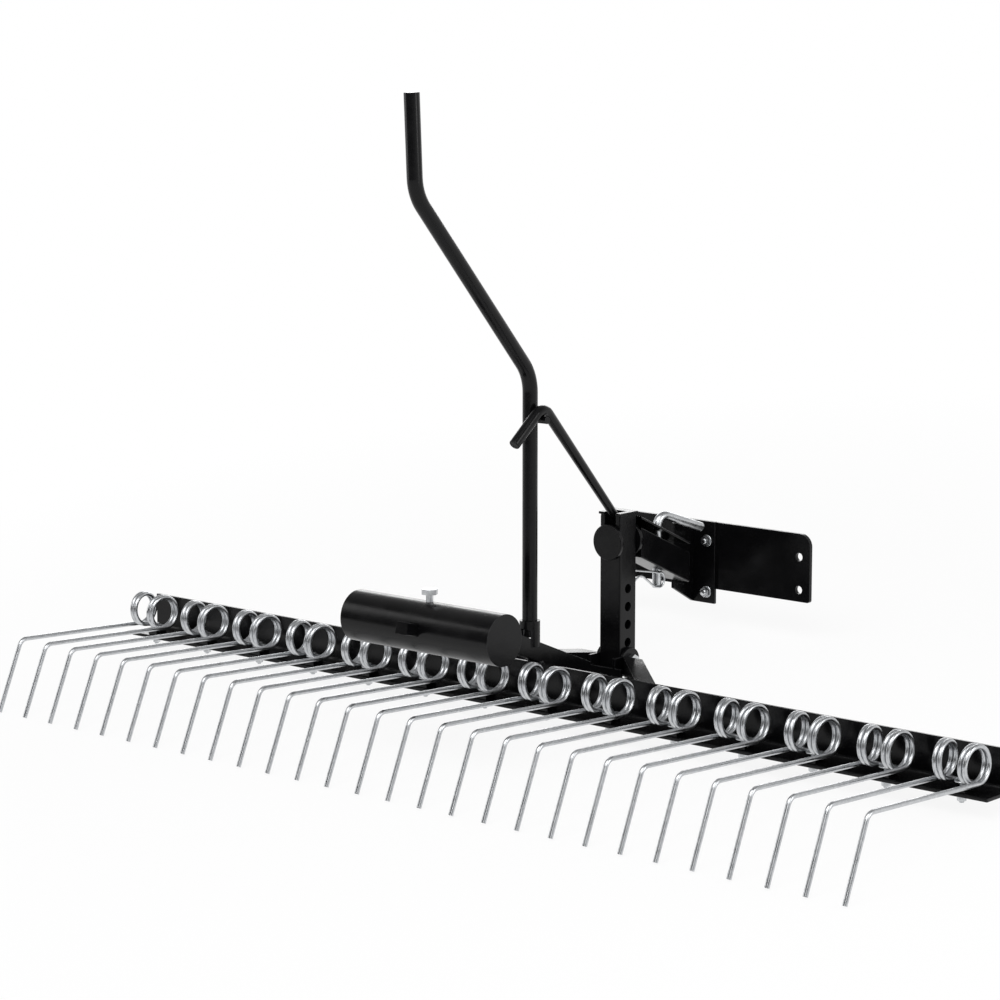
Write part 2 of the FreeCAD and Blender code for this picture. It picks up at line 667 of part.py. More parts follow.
# Hitch bracket: one heavy angle.  Its leg, the left piece, is tenoned into the tongue
# against the tube's left wall; its flange, the right piece, lies on the hitch plate
flange_back = size("plate_back") - size("bracket_wall")
ear_back = size("plate_back") - size("bracket_depth")
ear_x = size("tongue_wall") - half_tongue
outline = [
    vector(ear_x, flange_back, size("bracket_bottom")),
    vector(ear_x, flange_back, size("bracket_top")),
    vector(ear_x, ear_back, size("bracket_top")),
    vector(ear_x, ear_back, size("tenon_top")),
    vector(ear_x, ear_back - size("tenon_length"), size("tenon_top")),
    vector(ear_x, ear_back - size("tenon_length"), size("tenon_bottom")),
    vector(ear_x, ear_back, size("tenon_bottom")),
    vector(ear_x, ear_back, size("bracket_heel")),
]
ear_face = Part.Face(Part.makePolygon(outline + outline[:1]))
node("bracket_left", solid("BracketLeg", ear_face.extrude(X_AXIS * size("bracket_wall"))))
node("bracket_right", box("BracketFlange", placed(vector(ear_x, flange_back, size("bracket_bottom"))),
                          "Sizes.bracket_flange", "Sizes.bracket_wall",
                          "Sizes.bracket_top - Sizes.bracket_bottom"))

# Hitch plate: a wide plate with rounded corners and a pair of bolt holes near each end
plate_bottom = size("plate_centre_height") - size("plate_height") / 2
half_plate = size("plate_width") / 2
plate_blank = box("PlateBlank", placed(vector(-half_plate, size("plate_back"), plate_bottom)),
                  "Sizes.plate_width", "Sizes.plate_wall", "Sizes.plate_height")
plate_rounds = []
for x in (-1, 1):
    for z in (-1, 1):
        name = f"Plate{'Left' if x < 0 else 'Right'}{'Low' if z < 0 else 'High'}"
        corner = "plate_toe_corner" if z < 0 else "plate_corner"
        inset = size(corner)
        centre = vector(x * (half_plate - inset), size("plate_back"),
                        size("plate_centre_height") + z * (size("plate_height") / 2 - inset))
        square_at = vector(centre.x if x > 0 else centre.x - inset, centre.y,
                           centre.z if z > 0 else centre.z - inset)
        square = box(name + "Square", placed(square_at), f"Sizes.{corner}", "Sizes.plate_wall",
                     f"Sizes.{corner}")
        disc = cylinder(name + "Disc", along_y(centre.x, centre.y, centre.z), f"Sizes.{corner}",
                        "Sizes.plate_wall")
        plate_rounds.append(cut(name + "Waste", square, disc))
        plate_rounds.append(cylinder(name + "Hole", along_y(
            x * (half_plate - size("plate_hole_inset")), size("plate_back"),
            size("plate_centre_height") - size("plate_hole_low")
            + z * size("plate_hole_spacing") / 2),
            "Sizes.plate_hole_diameter / 2", "Sizes.plate_wall"))
node("hitch_plate", cut("Plate", plate_blank, fuse("PlateCuts", *plate_rounds)))

doc.recompute()

# Park the rake: tip it forward about X until the tine tips and the rounded
# underside of the yoke's ears share one level, then put the origin under the middle of its box
yoke_rest = vector(0, size("hinge_forward"), ear_bottom)
tip_lean = math.atan2(size("tip_back") - size("elbow_back"), size("tip_drop") + size("elbow_height"))
tip_rest = vector(0, hexagon_radius * math.cos(tip_lean) - size("tip_back"),
                  -hexagon_radius * math.sin(tip_lean) - size("tip_drop"))
park_angle = -math.degrees(math.atan2(yoke_rest.z - tip_rest.z, yoke_rest.y - tip_rest.y))
tipped = FreeCAD.Placement(vector(0, 0, 0), FreeCAD.Rotation(X_AXIS, park_angle))
whole = Part.makeCompound([obj.Shape for obj in NODES])
whole.Placement = tipped.multiply(whole.Placement)
extent = whole.optimalBoundingBox()
origin = vector((extent.XMin + extent.XMax) / 2, (extent.YMin + extent.YMax) / 2, extent.ZMin)
park = FreeCAD.Placement(origin * -1, tipped.Rotation)
for obj in NODES:
    obj.Placement = park.multiply(obj.Placement)
doc.recompute()

problems = [obj.Label for obj in doc.Objects if "Invalid" in obj.State or "Error" in obj.State]
for obj in NODES:
    if obj.Shape.isNull() or not obj.Shape.isValid() or obj.Shape.Volume <= 0:
        problems.append(obj.Label)
if problems:
    raise RuntimeError("failed: " + ", ".join(problems))

os.makedirs("parts", exist_ok=True)
for obj in NODES:
    obj.Shape.exportStep(f"parts/{obj.Label}.step")
print("parked at", round(park_angle, 3), "degrees, origin", origin)
for name, point in (("hinge", vector(0, size("hinge_forward"), size("hinge_height"))),
                    ("rod pivot", vector(0, post_middle, size("rod_pivot_height"))),
                    ("roll", vector(0, size("post_back"), size("roll_height"))),
                    ("weight", weight_centre)):
    print(name, park.multVec(point))
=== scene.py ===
# %% [markdown]
# # Dressing a tow-behind lawn rake
#
# The rake is a welded steel machine in two finishes: gloss black powder coat on the frame,
# and bright zinc on the spring tines, pins and bolts.  The CAD frame holds every member at
# its real size.  This script gives the members softened edges, winds the tines as round
# spring wire, adds the fasteners and welds, and lights the rake on a pale floor.

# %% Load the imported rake
import json
import math

import bmesh
import bpy
from mathutils import Matrix, Vector, noise


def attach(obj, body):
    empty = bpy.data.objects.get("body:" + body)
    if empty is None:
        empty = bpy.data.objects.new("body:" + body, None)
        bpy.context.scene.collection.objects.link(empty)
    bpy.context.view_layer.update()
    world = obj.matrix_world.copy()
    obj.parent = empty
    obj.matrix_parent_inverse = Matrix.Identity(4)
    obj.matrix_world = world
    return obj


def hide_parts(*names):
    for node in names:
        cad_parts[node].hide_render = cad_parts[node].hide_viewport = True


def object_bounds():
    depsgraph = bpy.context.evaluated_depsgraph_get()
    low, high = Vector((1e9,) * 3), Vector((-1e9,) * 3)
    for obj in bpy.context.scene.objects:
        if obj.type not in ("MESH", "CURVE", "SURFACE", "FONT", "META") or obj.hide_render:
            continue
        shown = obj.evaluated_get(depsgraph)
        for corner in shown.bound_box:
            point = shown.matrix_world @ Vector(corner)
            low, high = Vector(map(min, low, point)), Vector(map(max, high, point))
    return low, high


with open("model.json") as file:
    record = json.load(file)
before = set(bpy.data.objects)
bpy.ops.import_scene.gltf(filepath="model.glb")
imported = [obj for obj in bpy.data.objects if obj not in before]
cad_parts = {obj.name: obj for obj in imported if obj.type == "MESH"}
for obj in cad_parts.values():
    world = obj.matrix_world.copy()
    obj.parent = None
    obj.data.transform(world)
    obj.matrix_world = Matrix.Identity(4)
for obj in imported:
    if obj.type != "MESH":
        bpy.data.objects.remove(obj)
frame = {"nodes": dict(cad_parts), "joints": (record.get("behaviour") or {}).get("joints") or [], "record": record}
cad_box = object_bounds()

# %% [markdown]
# ## A working frame
#
# The rake parks with its nose down, so nothing on it is level.  A machinist would measure it
# the other way round: X along the bar, Y forward, Z up, with the bar's corner as zero.  The
# roll pivot's axis gives the lean and the lift hinge gives the place, so one matrix carries
# every piece from that working frame to where it parks.

# %% Matrix from the working frame to the parked rake
joints = {entry["name"]: entry for entry in frame["joints"]}
roll_axis = Vector(joints["roll"]["axis"])
lean = math.atan2(roll_axis.z, roll_axis.y)
HINGE = Vector((0, 0.1785, 0.027))      # the lift hinge, in the working frame
PARK = (Matrix.Translation(joints["lift"]["pos_m"])
        @ Matrix.Rotation(lean, 4, "X")
        @ Matrix.Translation(-HINGE))
UNPARK = PARK.inverted()


def working_box(node):
    """Lowest and highest corners of a CAD node, measured in the working frame."""
    places = [UNPARK @ vertex.co for vertex in frame["nodes"][node].data.vertices]
    return (Vector([min(place[axis] for place in places) for axis in range(3)]),
            Vector([max(place[axis] for place in places) for axis in range(3)]))


bar_low, bar_high = working_box("rake_bar")
print("parked at", round(math.degrees(lean), 2), "degrees; the bar is",
      round(bar_high.x - bar_low.x, 4), "m long")

# %% [markdown]
# ## Wiring up shader nodes
#
# A procedural finish is a small graph: noise gives a pattern, a map range picks the part of
# it that counts, and a little arithmetic mixes it with others.  Wiring each node by hand
# hides that, so a few helpers place a node, link what is a socket, set what is a number, and
# return the output.  The finishes below then read like sums.

# %% An empty group, a sum and a noise
def new_group(name, inputs, outputs):
    """Empty shader group: inputs and outputs are (name, socket type, default)."""
    group = bpy.data.node_groups.new(name, "ShaderNodeTree")
    for label, kind, default in inputs:
        socket = group.interface.new_socket(label, in_out="INPUT", socket_type=kind)
        socket.default_value = default
    for label, kind in outputs:
        group.interface.new_socket(label, in_out="OUTPUT", socket_type=kind)
    return group, group.nodes.new("NodeGroupInput"), group.nodes.new("NodeGroupOutput")


def math_node(tree, operation, first, second, clamp=False):
    """Math node whose inputs are sockets or plain numbers; returns its output."""
    node = tree.nodes.new("ShaderNodeMath")
    node.operation = operation
    node.use_clamp = clamp
    for socket, value in zip(node.inputs, (first, second)):
        if isinstance(value, bpy.types.NodeSocket):
            tree.links.new(value, socket)
        else:
            socket.default_value = value
    return node.outputs[0]


def noise_node(tree, vector, scale, detail=3.0, roughness=0.55):
    """Noise over a vector; its scale is a socket or a plain number."""
    node = tree.nodes.new("ShaderNodeTexNoise")
    tree.links.new(vector, node.inputs["Vector"])
    if isinstance(scale, bpy.types.NodeSocket):
        tree.links.new(scale, node.inputs["Scale"])
    else:
        node.inputs["Scale"].default_value = scale
    node.inputs["Detail"].default_value = detail
    node.inputs["Roughness"].default_value = roughness
    return node.outputs["Fac"]


print("shader helpers:", new_group.__name__, math_node.__name__, noise_node.__name__)

# %% A map range and the coordinates that every pattern reads
def spread(tree, value, low, high, to_low=0.0, to_high=1.0):
    """Map a value's range to another, clamped."""
    node = tree.nodes.new("ShaderNodeMapRange")
    tree.links.new(value, node.inputs["Value"])
    for label, number in (("From Min", low), ("From Max", high),
                          ("To Min", to_low), ("To Max", to_high)):
        node.inputs[label].default_value = number
    return node.outputs["Result"]


def object_coordinates(tree):
    return tree.nodes.new("ShaderNodeTexCoord").outputs["Object"]


print("shader helpers:", spread.__name__, object_coordinates.__name__)

# %% [markdown]
# ## Edge wear
#
# Powder pulls thin at a sharp edge, and that edge is what gets knocked.  A Bevel node gives
# the normal that a rounded edge would have.  Where it leans away from the true normal there
# is an edge, and a noise breaks the line up, because real wear is never an even outline.

# %% Group: where a coating is thin or rubbed at an edge
FLAT_COSINE, EDGE_COSINE = 0.995, 0.93  # rounded against true normal, on a face and at an edge
WEAR_RADIUS, WEAR_BREAKUP = 0.0012, 90.0


def edge_wear_group():
    """Mask that is 1 on edges sharper than a radius, broken up by noise."""
    group, source, sink = new_group(
        "edge wear",
        [("Radius", "NodeSocketFloat", WEAR_RADIUS), ("Breakup", "NodeSocketFloat", WEAR_BREAKUP)],
        [("Mask", "NodeSocketFloat")])
    bevel = group.nodes.new("ShaderNodeBevel")
    bevel.samples = 4
    group.links.new(source.outputs["Radius"], bevel.inputs["Radius"])
    surface = group.nodes.new("ShaderNodeNewGeometry")
    facing = group.nodes.new("ShaderNodeVectorMath")
    facing.operation = "DOT_PRODUCT"
    group.links.new(bevel.outputs["Normal"], facing.inputs[0])
    group.links.new(surface.outputs["Normal"], facing.inputs[1])
    edge = spread(group, facing.outputs["Value"], FLAT_COSINE, EDGE_COSINE)
    patches = noise_node(group, object_coordinates(group), source.outputs["Breakup"], detail=4.0)
    broken = spread(group, patches, 0.42, 0.62)
    group.links.new(math_node(group, "MULTIPLY", edge, broken), sink.inputs["Mask"])
    return group


EDGE_WEAR = edge_wear_group()
print("group:", EDGE_WEAR.name, "with a radius of", WEAR_RADIUS * 1000, "mm")

# %% [markdown]
# ## Orange peel
#
# Powder melts and flows in the oven, and sets with soft dimples about a millimetre across
# over a slower swell.  Neither can be modelled on every face, so both are one height for a
# Bump node.  It is kept low: it should trouble the edge of a reflection and no more.

# %% Group: orange peel left by powder that melted and flowed
DIMPLES, SWELL = 900.0, 160.0           # noise scales
SWELL_HEIGHT = 1.6                      # times the dimples' height


def orange_peel_group():
    """Height of soft dimples over a slower swell."""
    group, source, sink = new_group(
        "orange peel", [("Dimples", "NodeSocketFloat", DIMPLES)], [("Height", "NodeSocketFloat")])
    place = object_coordinates(group)
    dimples = noise_node(group, place, source.outputs["Dimples"], detail=1.0)
    swell = noise_node(group, place, SWELL, detail=1.0)
    height = math_node(group, "ADD", dimples, math_node(group, "MULTIPLY", swell, SWELL_HEIGHT))
    group.links.new(height, sink.inputs["Height"])
    return group


ORANGE_PEEL = orange_peel_group()
print("group:", ORANGE_PEEL.name, "at noise scales of", DIMPLES, "and", SWELL)

# %% [markdown]
# ## Dust
#
# A rake that stands in a shed gathers a thin, cloudy film on whatever faces up.  The mask is
# the upward part of the normal times a broad noise, so it needs no painting and lies right
# on each member, however it is turned.

# %% Group: dust that settles on faces looking up
FACING_UP = 0.2                         # upward part of the normal at which dust starts to lie
DUST_CLOUDS = 14.0                      # noise scale


def dust_group():
    """Mask of dust that lies on faces looking up, thin and cloudy."""
    group, source, sink = new_group(
        "dust", [("Amount", "NodeSocketFloat", 0.1)], [("Mask", "NodeSocketFloat")])
    surface = group.nodes.new("ShaderNodeNewGeometry")
    parts = group.nodes.new("ShaderNodeSeparateXYZ")
    group.links.new(surface.outputs["Normal"], parts.inputs[0])
    upward = spread(group, parts.outputs["Z"], FACING_UP, 1.0)
    pattern = noise_node(group, object_coordinates(group), DUST_CLOUDS, detail=6.0)
    mask = math_node(group, "MULTIPLY", upward, spread(group, pattern, 0.35, 0.75))
    group.links.new(math_node(group, "MULTIPLY", mask, source.outputs["Amount"]),
                    sink.inputs["Mask"])
    return group


DUST = dust_group()
print("group:", DUST.name, "at a noise scale of", DUST_CLOUDS)

# %% [markdown]
# ## Building a finish
#
# Every finish starts as one Principled shader.  The helpers below place a group in it with
# that finish's own values, blend two colours by a mask, and turn a height into a bump.

# %% A material, and a group placed in it
def new_material(name):
    """Material with nodes, its tree, and its Principled shader."""
    material = bpy.data.materials.new(name)
    material.use_nodes = True
    tree = material.node_tree
    return material, tree, tree.nodes["Principled BSDF"]


def use_group(tree, group, **values):
    """Place a group with its own values; returns its one output."""
    node = tree.nodes.new("ShaderNodeGroup")
    node.node_tree = group
    for label, value in values.items():
        node.inputs[label].default_value = value
    return node.outputs[0]


print("material helpers:", new_material.__name__, use_group.__name__)

# %% A blend of two colours, and a bump
MIX_FACTOR, MIX_FIRST, MIX_SECOND, MIX_RESULT = 0, 6, 7, 2      # the Mix node's colour sockets


def mix_colour(tree, factor, first, second):
    """Blend of two colours, each a socket or a plain colour, by a mask."""
    node = tree.nodes.new("ShaderNodeMix")
    node.data_type = "RGBA"
    tree.links.new(factor, node.inputs[MIX_FACTOR])
    for index, value in ((MIX_FIRST, first), (MIX_SECOND, second)):
        if isinstance(value, bpy.types.NodeSocket):
            tree.links.new(value, node.inputs[index])
        else:
            node.inputs[index].default_value = (*value, 1.0)
    return node.outputs[MIX_RESULT]


def bump(tree, shader, height, strength, distance):
    """Lean the shader's normal by a height; the distance is in metres."""
    node = tree.nodes.new("ShaderNodeBump")
    node.inputs["Strength"].default_value = strength
    node.inputs["Distance"].default_value = distance
    tree.links.new(height, node.inputs["Height"])
    tree.links.new(node.outputs["Normal"], shader.inputs["Normal"])


print("material helpers:", mix_colour.__name__, bump.__name__)

# %% [markdown]
# ## Gloss black powder coat
#
# The frame is a deep black with a gloss that mirrors the room.  What you see on it is mostly
# reflection, so the colour stays near black, and the detail goes into roughness and bump:
# faint smears, a little dust, and the orange peel.  A low specular level keeps the
# reflections as soft as a coating's, because bare gloss would look like wet lacquer.

# %% The frame's black
DEEP_BLACK, CLOUDY_BLACK = (0.0020, 0.0020, 0.0023), (0.0036, 0.0036, 0.0041)
RUBBED_BLACK = (0.022, 0.022, 0.024)
DUST_COLOUR = (0.16, 0.155, 0.145)
DUST_AMOUNT = 0.03
CLOUD_SCALE, SMEAR_SCALE = 9.0, 38.0    # noise scales
SMEAR_SMOOTH, SMEAR_ROUGH = 0.16, 0.27  # roughness between smears and in them
DUST_DULLS, WEAR_DULLS = 1.6, 0.15      # roughness that a full mask adds
SPECULAR = 0.20
PEEL_STRENGTH, PEEL_DEPTH = 0.10, 0.0003


def black_powder_coat():
    material, tree, shader = new_material("black_powder_coat")
    place = object_coordinates(tree)
    wear = use_group(tree, EDGE_WEAR, Radius=WEAR_RADIUS, Breakup=WEAR_BREAKUP)
    dust = use_group(tree, DUST, Amount=DUST_AMOUNT)
    cloud = spread(tree, noise_node(tree, place, CLOUD_SCALE, detail=4.0), 0.3, 0.7)
    worn = mix_colour(tree, wear, mix_colour(tree, cloud, DEEP_BLACK, CLOUDY_BLACK), RUBBED_BLACK)
    tree.links.new(mix_colour(tree, dust, worn, DUST_COLOUR), shader.inputs["Base Color"])
    smears = spread(tree, noise_node(tree, place, SMEAR_SCALE, detail=5.0), 0.35, 0.7,
                    SMEAR_SMOOTH, SMEAR_ROUGH)
    dusty = math_node(tree, "MULTIPLY", dust, DUST_DULLS)
    rubbed = math_node(tree, "MULTIPLY", wear, WEAR_DULLS)
    roughness = math_node(tree, "ADD", math_node(tree, "ADD", smears, dusty), rubbed, clamp=True)
    tree.links.new(roughness, shader.inputs["Roughness"])
    shader.inputs["Specular IOR Level"].default_value = SPECULAR
    bump(tree, shader, use_group(tree, ORANGE_PEEL, Dimples=DIMPLES), PEEL_STRENGTH, PEEL_DEPTH)
    return material


BLACK = black_powder_coat()
print("finish:", BLACK.name)

# %% [markdown]
# ## Bright zinc plate
#
# Zinc plate is a bright metal, a little blue, with a cloudy spangle in both its colour and
# its roughness.  Drawn spring wire adds fine die lines that run along the wire, for which
# each wire carries its own coordinates.  One function makes both finishes.

# %% Zinc for the hardware, and zinc with the die lines of drawn wire
SPANGLE_DARK, SPANGLE_BRIGHT = (0.47, 0.483, 0.497), (0.68, 0.694, 0.708)
SPANGLE_SCALE, DULL_SCALE, GRAIN_SCALE = 170.0, 60.0, 420.0     # noise scales
SMOOTHER, ROUGHER = 0.05, 0.09          # how far the roughness strays each way
DIE_LINE, DIE_LINE_SCALE = (0.42, 0.43, 0.45), 7.0
DIE_LINE_SHARE = 0.5                    # how far a die line darkens the plate
DIE_LINE_DULLS, DIE_LINE_HEIGHT = 0.10, 1.5
ZINC_STRENGTH, ZINC_DEPTH = 0.07, 0.0002
WIRE_ROUGHNESS, BOLT_ROUGHNESS = 0.24, 0.28


def zinc_plate(name, lines, roughness):
    material, tree, shader = new_material(name)
    place = object_coordinates(tree)
    pattern = noise_node(tree, place, SPANGLE_SCALE, detail=5.0, roughness=0.65)
    colour = mix_colour(tree, spread(tree, pattern, 0.3, 0.72), SPANGLE_DARK, SPANGLE_BRIGHT)
    shader.inputs["Metallic"].default_value = 1.0
    rough = spread(tree, noise_node(tree, place, DULL_SCALE, detail=4.0), 0.3, 0.7,
                   roughness - SMOOTHER, roughness + ROUGHER)
    height = noise_node(tree, place, GRAIN_SCALE, detail=2.0)
    if lines:
        along = tree.nodes.new("ShaderNodeAttribute")
        along.attribute_name = "wire"
        drawn = noise_node(tree, along.outputs["Vector"], DIE_LINE_SCALE, roughness=0.7)
        streak = spread(tree, drawn, 0.35, 0.68)
        colour = mix_colour(tree, math_node(tree, "MULTIPLY", streak, DIE_LINE_SHARE), colour,
                            DIE_LINE)
        rough = math_node(tree, "ADD", rough, math_node(tree, "MULTIPLY", streak, DIE_LINE_DULLS))
        height = math_node(tree, "ADD", height,
                           math_node(tree, "MULTIPLY", drawn, DIE_LINE_HEIGHT))
    tree.links.new(colour, shader.inputs["Base Color"])
    tree.links.new(rough, shader.inputs["Roughness"])
    bump(tree, shader, height, ZINC_STRENGTH, ZINC_DEPTH)
    return material


ZINC_WIRE = zinc_plate("zinc_spring_wire", True, WIRE_ROUGHNESS)
ZINC_BOLT = zinc_plate("zinc_hardware", False, BOLT_ROUGHNESS)
print("finishes:", ZINC_WIRE.name, "and", ZINC_BOLT.name)

# %% [markdown]
# ## Finishing a piece
#
# Each piece starts as a bmesh in the working frame.  One helper parks it, makes it an object
# at the origin, shades it smooth up to its sharp edges, and lets it ride on its body.  The
# Weighted Normal modifier gives each corner the direction of its largest face, so a plate
# mirrors the room as a flat sheet and only its rounded rim bends the reflection.

# %% Turn a bmesh into a piece
SHARP = math.radians(38)
LARGE_FACE_WEIGHT = 80
MERGE = 0.00001                         # points nearer than this are one


def finish_piece(name, bm, material, body, parked=False):
    """Object from a bmesh, on its body and in its material slot; the bmesh is freed."""
    if not parked:
        bmesh.ops.transform(bm, matrix=PARK, verts=bm.verts)
    mesh = bpy.data.meshes.new(name)
    bm.to_mesh(mesh)
    bm.free()
    mesh.shade_smooth()
    mesh.set_sharp_from_angle(angle=SHARP)
    mesh.materials.append(material)
    piece = bpy.data.objects.new(name, mesh)
    bpy.context.scene.collection.objects.link(piece)
    flatten = piece.modifiers.new("large faces stay flat", "WEIGHTED_NORMAL")
    flatten.weight = LARGE_FACE_WEIGHT
    flatten.keep_sharp = True
    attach(piece, body)
    return piece


body_of = {node: body for body, members in frame["record"]["behaviour"]["bodies"].items()
           for node in members}
print("edges over", round(math.degrees(SHARP)), "degrees stay sharp;", len(body_of),
      "nodes have a body")

# %% [markdown]
# ## Softened edges
#
# Rolled, sawn and pressed steel never has a knife edge, and on gloss black the thin bright
# line along a rounded edge is what shows the shape.  A copy of each CAD member is merged,
# its flat triangles are joined into faces, and its sharp edges get a narrow bevel.  Square
# tube is rolled from strip, so its long corners are rounder than its sawn ends, and they get
# their own wider bevel first.

# %% A bevelled copy of a CAD member
TUBE_CORNER = {"mast_post": 0.0022, "tongue": 0.0020, "spine": 0.0024}
LONG_CORNER = 0.08                      # a tube's bent corners are longer than this
SAME_PLANE, EDGE_ANGLE = math.radians(1), math.radians(50)


def bevelled_copy(node, width):
    """Merged copy with its sharp edges rounded, and the long corners of a tube rounded more."""
    bm = bmesh.new()
    bm.from_mesh(frame["nodes"][node].data)
    bmesh.ops.remove_doubles(bm, verts=bm.verts, dist=MERGE)
    bmesh.ops.dissolve_limit(bm, angle_limit=SAME_PLANE, verts=bm.verts, edges=bm.edges)
    if node in TUBE_CORNER:
        corners = [edge for edge in bm.edges if edge.calc_length() > LONG_CORNER
                   and edge.calc_face_angle_signed(0) > EDGE_ANGLE]
        bmesh.ops.bevel(bm, geom=corners, offset=TUBE_CORNER[node], segments=4, profile=0.5,
                        affect="EDGES", clamp_overlap=True, material=-1)
    sharp = [edge for edge in bm.edges
             if len(edge.link_faces) == 2 and edge.calc_face_angle(0) > EDGE_ANGLE]
    bmesh.ops.bevel(bm, geom=sharp, offset=width, segments=2, profile=0.5,
                    affect="EDGES", clamp_overlap=True, material=-1)
    return bm


print("tube corners in mm:", {node: radius * 1000 for node, radius in TUBE_CORNER.items()})

# %% [markdown]
# ## A fuller hook rod
#
# The real hook rod is about 15 mm thick with its coating, and its CAD solid is 12 mm along
# the same line.  Each point of the copy moves out along its normal, which keeps the line and
# the bend, where a scale would shift them.  The growth fades out at the eye, because the eye
# turns in the mast's slot and has no room there.

# %% Grow the hook rod
ROD_EXTRA = 0.0016
EYE_REACH, EYE_FADE = 0.011, 0.009      # no growth inside the reach, all of it past the fade
rod_eye = Vector(joints["hook_swing"]["pos_m"])


def fuller_rod(bm):
    """Grow the hook rod to its coated size, fading out at its eye."""
    bm.normal_update()
    for vert in bm.verts:
        share = min(1.0, max(0.0, ((vert.co - rod_eye).length - EYE_REACH) / EYE_FADE))
        vert.co += vert.normal * (ROD_EXTRA * share)


print("the rod grows by", ROD_EXTRA * 1000, "mm all round")

# %% [markdown]
# ## The painted members
#
# Every black member goes through the same copy, with the edge radius that its making leaves:
# a fine one on sheared plate, a wide one on the counterweight's turned ends.  The copies
# stand for the CAD nodes.

# %% Bevelled copies of the painted members
EDGE_RADIUS = {
    "rake_bar": 0.0009, "brace_left": 0.0008, "brace_right": 0.0008, "apex_plate": 0.0006,
    "hinge_yoke": 0.0007, "spine": 0.0008, "handle_socket": 0.0004, "lift_handle": 0.0008,
    "latch_peg": 0.0008, "counterweight": 0.0016, "mast_post": 0.0006, "mast_cap": 0.0007,
    "hook_rod": 0.0008, "roll_pivot": 0.0010, "tongue": 0.0006, "pin_sleeve": 0.0005,
    "bracket_left": 0.0007, "bracket_right": 0.0007, "hitch_plate": 0.0010,
}
for node, radius in EDGE_RADIUS.items():
    bm = bevelled_copy(node, radius)
    if node == "hook_rod":
        fuller_rod(bm)
    piece = finish_piece(node + "_painted", bm, BLACK, body_of[node], parked=True)
    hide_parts(node)
print("painted members:", len(EDGE_RADIUS))

# %% [markdown]
# ## Running a section along a path
#
# A wire, a clip or a weld bead is one round section that follows a line.  A bevelled curve
# could draw it, but it gives no say over each ring.  The helper draws a circle, extrudes its
# rim from point to point and turns it with the path, so the tube never pinches.  Each vertex
# keeps its place round and along the wire, for the die lines.

# %% Sweep a round section
ALONG_SCALE = 4                         # stretches the die lines along the wire


def sweep(bm, path, radius, sides, swell=None):
    """Tube along a path; swell gives a ring's size from its share of the way and its place."""
    lines = bm.verts.layers.float_vector.get("wire") or bm.verts.layers.float_vector.new("wire")
    heading = (path[1] - path[0]).normalized()
    facing = heading.to_track_quat("Z", "Y").to_matrix().to_4x4()
    verts = bmesh.ops.create_circle(bm, segments=sides, radius=radius,
                                    matrix=Matrix.Translation(path[0]) @ facing)["verts"]
    for index, vert in enumerate(verts):
        turn = math.tau * index / sides
        vert[lines] = Vector((math.cos(turn), math.sin(turn), 0))
    rim = list(dict.fromkeys(edge for vert in verts for edge in vert.link_edges))
    caps = [rim]
    travelled, size = 0.0, 1.0
    for index in range(1, len(path)):
        after = path[min(index + 1, len(path) - 1)]
        ahead = (after - path[index - 1]).normalized()
        grown = bmesh.ops.extrude_edge_only(bm, edges=rim)["geom"]
        verts = [item for item in grown if isinstance(item, bmesh.types.BMVert)]
        rim = [item for item in grown if isinstance(item, bmesh.types.BMEdge)]
        step = path[index] - path[index - 1]
        bmesh.ops.translate(bm, vec=step, verts=verts)
        bmesh.ops.rotate(bm, cent=path[index], verts=verts,
                         matrix=heading.rotation_difference(ahead).to_matrix())
        heading = ahead
        travelled += step.length
        if swell:
            wanted = swell(index / (len(path) - 1), path[index])
            bmesh.ops.scale(bm, vec=Vector.Fill(3, wanted / size), verts=verts,
                            space=Matrix.Translation(-path[index]))
            size = wanted
        for vert in verts:
            vert[lines].z = travelled * ALONG_SCALE
    caps.append(rim)
    for rim in caps:
        bmesh.ops.edgeloop_fill(bm, edges=rim)
    bmesh.ops.recalc_face_normals(bm, faces=bm.faces)


print("one unit of the die lines is", 1 / ALONG_SCALE, "m of wire")

# %% [markdown]
# ## The double-coil tines
#
# One tine is a single length of spring wire.  Its middle is a bight that lies round the
# clamp bolt.  Each leg of the bight winds two turns outwards, up the back and down the front,
# then leaves the coil's foot as the arm, runs back over the flange and bends down to the tip.
# The path follows the wire from the bight outwards, and its mirror image is the other half,
# so the two coils are wound opposite ways as on the real spring.

# %% Sizes of a tine, in the working frame
WIRE_RADIUS, WIRE_SIDES = 0.003175, 14
ARM_OFFSET = 0.0273                     # from the middle of the tine to an arm
COIL_RADIUS, COIL_PITCH, COIL_TURNS = 0.0225, 0.0068, 2
COIL_CENTRE = Vector((0, -0.046, 0.0375))
COIL_SPLAY = 0.05                       # how far the coils toe out towards the front
BIGHT_REACH, BIGHT_HEIGHT = 0.015, 0.0090
ELBOW, ELBOW_RADIUS = Vector((ARM_OFFSET, -0.2777, 0.0259)), 0.014
TIP = Vector((ARM_OFFSET, -0.3212, -0.0738))
BIGHT_STEPS, TURN_STEPS, ELBOW_STEPS = 12, 44, 8
ARM_CUT = 0.03                          # longest straight run between two rings
print("spring wire of", WIRE_RADIUS * 2000, "mm in coils of",
      round((COIL_RADIUS + WIRE_RADIUS) * 2000, 1), "mm outside")

# %% The arc that rounds a corner
def arc_between(before, corner, after, radius, steps):
    """Points of the arc that rounds a corner."""
    back = (before - corner).normalized()
    ahead = (after - corner).normalized()
    half = back.angle(ahead) / 2
    centre = corner + (back + ahead).normalized() * (radius / math.sin(half))
    spoke = corner + back * (radius / math.tan(half)) - centre
    axis = back.cross(ahead).normalized()
    bend = -(math.pi - 2 * half)
    return [centre + Matrix.Rotation(bend * step / steps, 3, axis) @ spoke
            for step in range(steps + 1)]


